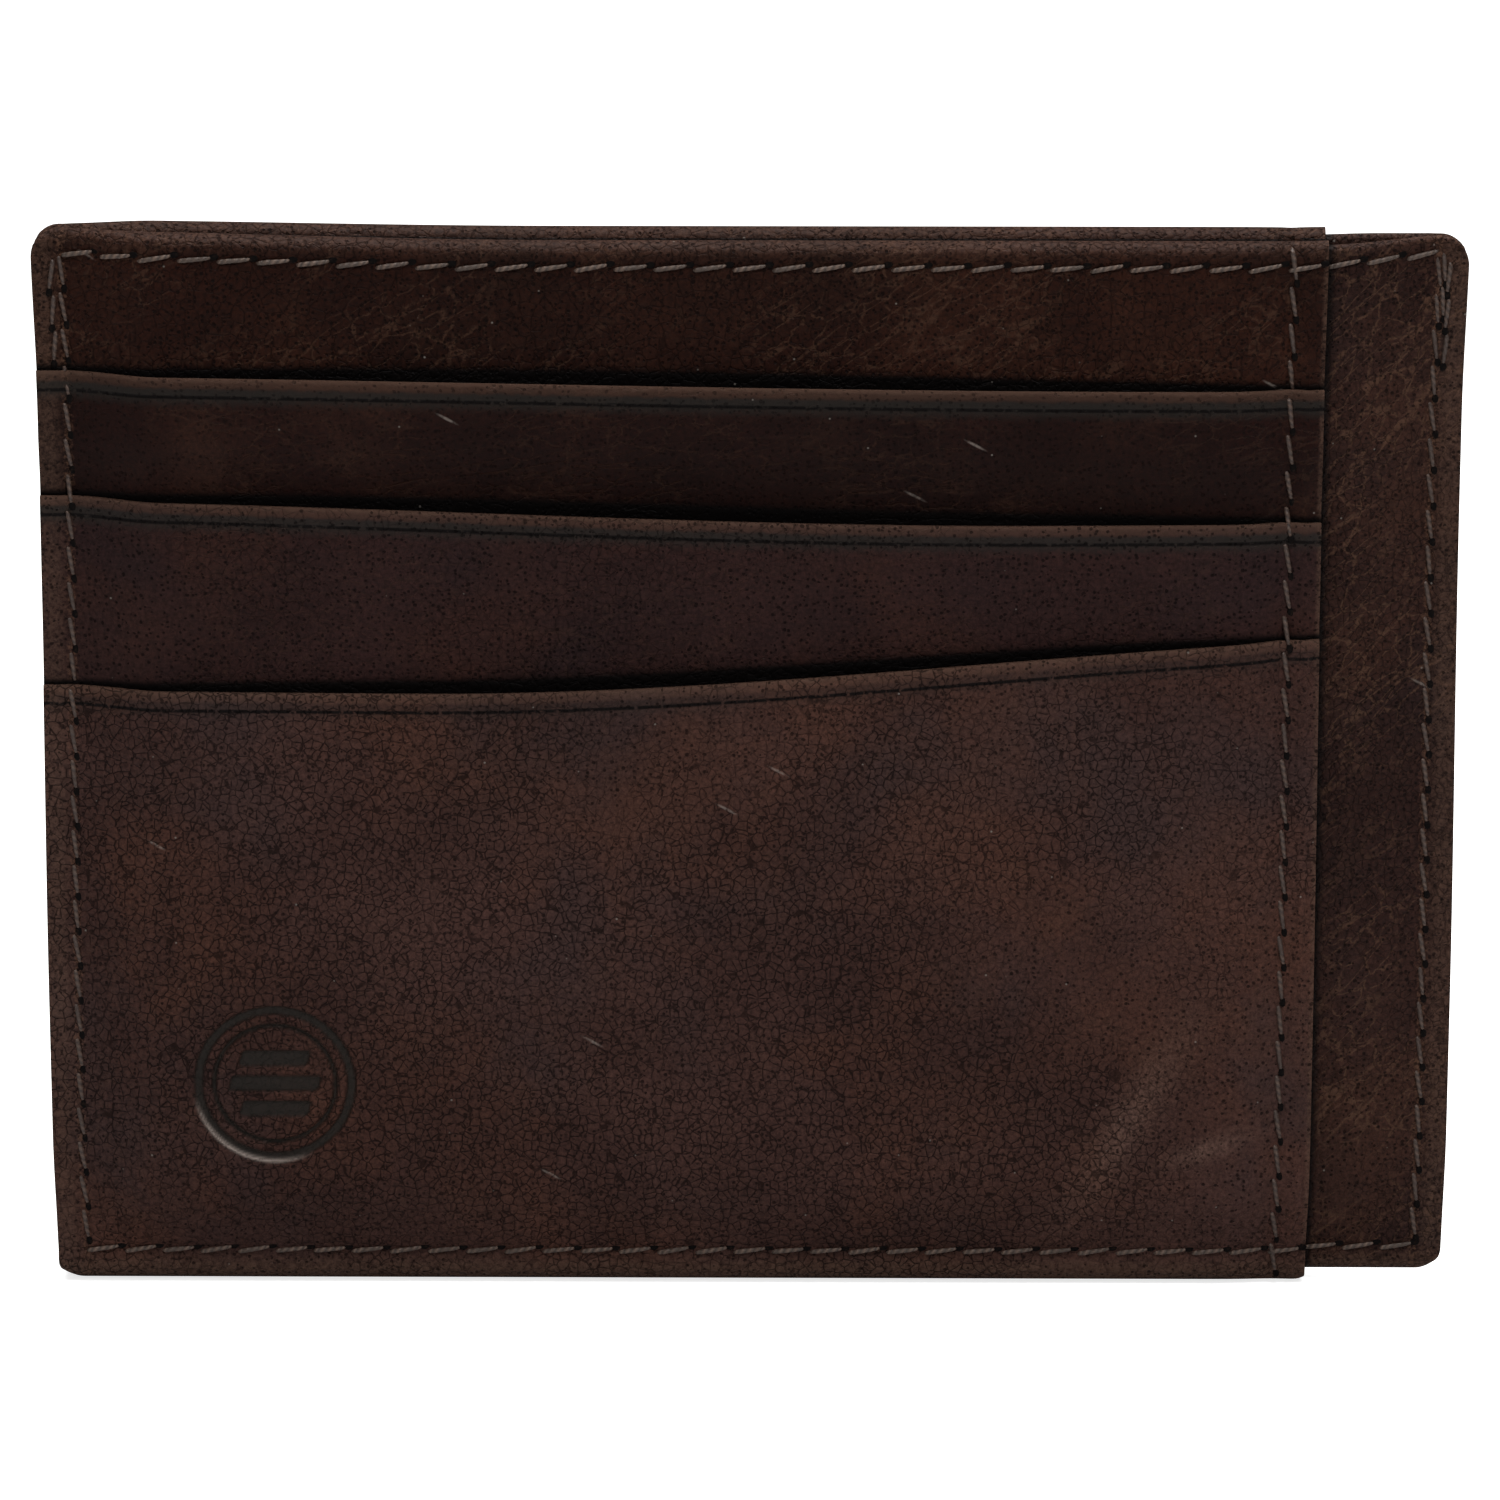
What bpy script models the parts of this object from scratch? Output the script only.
"""A flat card wallet that stands on its bottom fold.

Two leaves face each other across a central compartment. Each leaf is a lining, a body panel and a set of
three card pockets, one shingled over the next, and the outer leather passes under the wallet from leaf to
leaf. +X runs along the wallet, the front leaf faces -Y, +Z is up. The origin is at the middle of the
bottom fold's underside. Sizes are in millimetres and are turned into metres where a mesh is made.
"""

import math

import bmesh
import bpy

MM = 0.001

# Driving sizes
WIDTH = 106.0  # along the bottom fold
HEIGHT = 82.0  # to the top of the turned band
POCKET_WIDTH = 95.5  # the pocket set, from the left edge
CORNER = 1.3  # radius of the panels' corners
LEATHER = 0.7
LINING = 0.2  # cloth that faces the compartment
TAIL = 0.15  # cloth that carries a pocket's facing down to the bottom seam
MARGIN = 0.5  # skived leather of the turned margins between the leaves
LAY = 0.15  # clearance between two layers that lie on each other
MARGIN_WIDTH = 6.0
OVERLAP = 4.0  # how far a facing, or the top band, goes down behind the next pocket's edge
RAMP = 0.8  # a facing starts to lift this far above the edge in front of it

# A pocket's edge: its height at the left, how far it rises, and where it starts and stops rising, counted
# from the left edge of the wallet
EDGES = {
    "upper": (71.4, -1.0, 0.0, 95.5),
    "middle": (61.9, -1.6, 0.0, 75.0),
    "lower": (47.4, 4.3, 28.0, 108.0),
}

# Seams: their distance from the edge that they follow
SIDE_SEAM = 2.2
POCKET_SEAM = 2.5
FOLD_SEAM = 2.5
THREAD = 0.15  # radius
SEAM_GAP = 0.7  # where one seam stops short of the next

# Places that follow from the driving sizes
LEFT = -WIDTH / 2
RIGHT = WIDTH / 2
POCKET_RIGHT = LEFT + POCKET_WIDTH
BOTTOM = LEATHER + LAY  # what stands on the bottom fold starts here
PANEL_TOP = HEIGHT - LEATHER - LAY  # what the top band turns over ends here

# Levels, counted outwards from the middle plane: where each layer's inner face lies
LINING_LEVEL = MARGIN / 2 + LAY
PANEL_LEVEL = LINING_LEVEL + LINING + LAY
BACKING_LEVEL = PANEL_LEVEL + LEATHER + LAY
BAND_LEVEL = BACKING_LEVEL + TAIL + LAY
MIDDLE_LEVEL = BAND_LEVEL + TAIL + LAY
LIFT_LEVEL = BAND_LEVEL + LEATHER + LAY
LOWER_LEVEL = MIDDLE_LEVEL + LEATHER + LAY
OUTSIDE = LOWER_LEVEL + LEATHER

LEATHER_COLOUR = (0.032, 0.019, 0.016)
CLOTH_COLOUR = (0.03, 0.024, 0.02)
THREAD_COLOUR = (0.11, 0.085, 0.07)


def collection(name):
    """A new collection in the scene."""
    made = bpy.data.collections.new(name)
    bpy.context.scene.collection.children.link(made)
    return made


def material(name, colour, roughness):
    """A plain material, one for each piece."""
    made = bpy.data.materials.new(name)
    made.use_nodes = True
    shader = made.node_tree.nodes["Principled BSDF"]
    shader.inputs["Base Color"].default_value = (*colour, 1)
    shader.inputs["Roughness"].default_value = roughness
    shader.inputs["Metallic"].default_value = 0
    return made


def place(name, data, parts, colour, roughness=0.6):
    """The object of one piece, with its material, in the parts' collection."""
    data.materials.clear()
    data.materials.append(material(name, colour, roughness))
    piece = bpy.data.objects.new(name, data)
    parts.objects.link(piece)
    return piece


def edge_height(pocket, x):
    """The height of a pocket's edge at x."""
    base, rise, start, end = EDGES[pocket]
    t = min(max((x - LEFT - start) / (end - start), 0), 1)
    return base + rise * t * t * (3 - 2 * t)


def slab(name, parts, colour, low, high, corner=0.0):
    """A box from corner low to corner high, with its four corners in XZ rounded."""
    bm = bmesh.new()
    bmesh.ops.create_cube(bm, size=1)
    for v in bm.verts:
        v.co = [(low[i] + (v.co[i] + 0.5) * (high[i] - low[i])) * MM for i in range(3)]
    if corner:
        along_y = [e for e in bm.edges if abs(e.verts[0].co.y - e.verts[1].co.y) > 1e-6]
        bmesh.ops.bevel(bm, geom=along_y, offset=corner * MM, segments=3, profile=0.5, affect="EDGES")
    mesh = bpy.data.meshes.new(name)
    bm.to_mesh(mesh)
    bm.free()
    return place(name, mesh, parts, colour)


def sheet(name, parts, colour, side, rows, thickness, columns=12, right=POCKET_RIGHT):
    """A bent sheet. Each row is (height as a function of x, level of the inner face), from the bottom up."""
    bm = bmesh.new()
    bmesh.ops.create_grid(bm, x_segments=columns, y_segments=len(rows) - 1, size=1)
    for v in bm.verts:
        height, level = rows[round((v.co.y + 1) / 2 * (len(rows) - 1))]
        x = LEFT + (v.co.x + 1) / 2 * (right - LEFT)
        v.co = (x * MM, side * level * MM, height(x) * MM)
    if side > 0:
        bmesh.ops.reverse_faces(bm, faces=bm.faces)
    mesh = bpy.data.meshes.new(name)
    bm.to_mesh(mesh)
    bm.free()
    piece = place(name, mesh, parts, colour)
    wall = piece.modifiers.new("thickness", "SOLIDIFY")
    wall.thickness = thickness * MM
    wall.offset = 1
    wall.use_even_offset = True
    return piece


def thread(name, parts, points):
    """A row of stitches, as one thin rod through points in millimetres."""
    curve = bpy.data.curves.new(name, "CURVE")
    curve.dimensions = "3D"
    curve.bevel_depth = THREAD * MM
    curve.bevel_resolution = 1
    curve.use_fill_caps = True
    spline = curve.splines.new("POLY")
    spline.points.add(len(points) - 1)
    for point, place_mm in zip(spline.points, points):
        point.co = (*[c * MM for c in place_mm], 1)
    return place(name, curve, parts, THREAD_COLOUR, 0.7)


def flat(height):
    """A row of a sheet that has the same height all along."""
    return lambda x: height


def along(pocket, offset):
    """A row of a sheet that follows a pocket's edge."""
    return lambda x: edge_height(pocket, x) + offset


def make_pockets(leaf, side, parts):
    """The three pockets' facings, the cloth tails that carry the upper two, and the top band over them."""
    sheet(
        f"{leaf}_top_band",
        parts,
        LEATHER_COLOUR,
        side,
        [
            (along("upper", -OVERLAP), BAND_LEVEL),
            (flat(HEIGHT - LEATHER), BAND_LEVEL),
            (flat(HEIGHT - LEATHER), LINING_LEVEL),
        ],
        LEATHER,
    )
    sheet(
        f"{leaf}_upper_facing",
        parts,
        LEATHER_COLOUR,
        side,
        [
            (along("middle", -OVERLAP), BAND_LEVEL),
            (along("middle", RAMP), BAND_LEVEL),
            (along("upper", -OVERLAP - RAMP), LIFT_LEVEL),
            (along("upper", 0), LIFT_LEVEL),
        ],
        LEATHER,
    )
    sheet(
        f"{leaf}_middle_facing",
        parts,
        LEATHER_COLOUR,
        side,
        [
            (along("lower", -OVERLAP), MIDDLE_LEVEL),
            (along("lower", RAMP), MIDDLE_LEVEL),
            (along("middle", -OVERLAP - RAMP), LIFT_LEVEL),
            (along("middle", 0), LIFT_LEVEL),
        ],
        LEATHER,
    )
    sheet(
        f"{leaf}_lower_facing",
        parts,
        LEATHER_COLOUR,
        side,
        [(flat(BOTTOM), LOWER_LEVEL), (along("lower", 0), LOWER_LEVEL)],
        LEATHER,
    )
    for pocket, below, level in (("upper", "middle", BAND_LEVEL), ("middle", "lower", MIDDLE_LEVEL)):
        top = along(below, -OVERLAP - LAY)
        sheet(f"{leaf}_{pocket}_tail", parts, CLOTH_COLOUR, side, [(flat(BOTTOM), level), (top, level)], TAIL)


def make_threads(leaf, side, parts):
    """The five rows of stitches that show on a leaf, each lying on what it sews."""
    rise = LAY + THREAD
    strip = side * (PANEL_LEVEL + LEATHER + rise)
    band = side * (BAND_LEVEL + LEATHER + rise)
    lifted = side * (LIFT_LEVEL + LEATHER + rise)
    seated = side * (MIDDLE_LEVEL + LEATHER + rise)
    lower = side * (OUTSIDE + rise)
    top, bottom = HEIGHT - FOLD_SEAM, BOTTOM + FOLD_SEAM
    left, right = LEFT + SIDE_SEAM, RIGHT - SIDE_SEAM
    step_in, step_out = POCKET_RIGHT + 2 * THREAD, POCKET_RIGHT + 2 * THREAD + 2 * (OUTSIDE - LOWER_LEVEL)

    thread(
        f"{leaf}_top_thread",
        parts,
        [
            (left + SEAM_GAP, band, top),
            (step_in, band, top),
            (step_out, strip, top),
            (right - SEAM_GAP, strip, top),
        ],
    )
    thread(
        f"{leaf}_bottom_thread",
        parts,
        [
            (left + SEAM_GAP, lower, bottom),
            (step_in, lower, bottom),
            (step_out, strip, bottom),
            (right - SEAM_GAP, strip, bottom),
        ],
    )
    thread(
        f"{leaf}_right_thread",
        parts,
        [(right, strip, bottom + SEAM_GAP), (right, strip, top)],
    )
    for name, x, high in (("left", left, top), ("pocket", POCKET_RIGHT - POCKET_SEAM, top - SEAM_GAP)):
        upper, middle, low = (edge_height(pocket, x) for pocket in ("upper", "middle", "lower"))
        points = [
            (x, band, high),
            (x, band, upper + 2 * RAMP),
            (x, lifted, upper + RAMP / 2),
            (x, lifted, upper - OVERLAP - RAMP),
            (x, band, middle + 1.5 * RAMP),
            (x, lifted, middle + RAMP / 2),
            (x, lifted, middle - OVERLAP - RAMP),
            (x, seated, low + 1.5 * RAMP),
            (x, lower, low + RAMP / 2),
            (x, lower, bottom + SEAM_GAP),
        ]
        thread(f"{leaf}_{name}_thread", parts, points)


def make_leaf(leaf, side, parts):
    """One leaf: lining, body panel, pocket backing, pockets and threads. side is -1 in front, 1 behind."""

    def layer(name, colour, right, level, thickness):
        near, far = sorted((side * level, side * (level + thickness)))
        slab(f"{leaf}_{name}", parts, colour, (LEFT, near, BOTTOM), (right, far, PANEL_TOP), CORNER)

    layer("lining", CLOTH_COLOUR, RIGHT, LINING_LEVEL, LINING)
    layer("body_panel", LEATHER_COLOUR, RIGHT, PANEL_LEVEL, LEATHER)
    layer("pocket_backing", CLOTH_COLOUR, POCKET_RIGHT, BACKING_LEVEL, TAIL)
    make_pockets(leaf, side, parts)
    make_threads(leaf, side, parts)


def make_margins(parts):
    """The turned margins that lie between the leaves inside the side seams and the bottom seam."""
    half = MARGIN / 2
    inner_left, inner_right = LEFT + MARGIN_WIDTH, RIGHT - MARGIN_WIDTH
    runs = {
        "left": (LEFT, inner_left, PANEL_TOP),
        "bottom": (inner_left + LAY, inner_right - LAY, BOTTOM + MARGIN_WIDTH),
        "right": (inner_right, RIGHT, PANEL_TOP),
    }
    for name, (start, end, top) in runs.items():
        low, high = (start, -half, BOTTOM), (end, half, top)
        slab(f"{name}_turned_margin", parts, LEATHER_COLOUR, low, high)


def make_bottom_fold(parts):
    """The outer leather where it passes under the wallet, from the front pockets to the back ones."""
    slab("bottom_fold", parts, LEATHER_COLOUR, (LEFT, -OUTSIDE, 0), (POCKET_RIGHT, OUTSIDE, LEATHER))


def main():
    for old in list(bpy.data.objects):
        bpy.data.objects.remove(old, do_unlink=True)
    parts = collection("card_wallet")
    make_bottom_fold(parts)
    make_margins(parts)
    for leaf, side in (("back", 1), ("front", -1)):
        make_leaf(leaf, side, parts)


main()
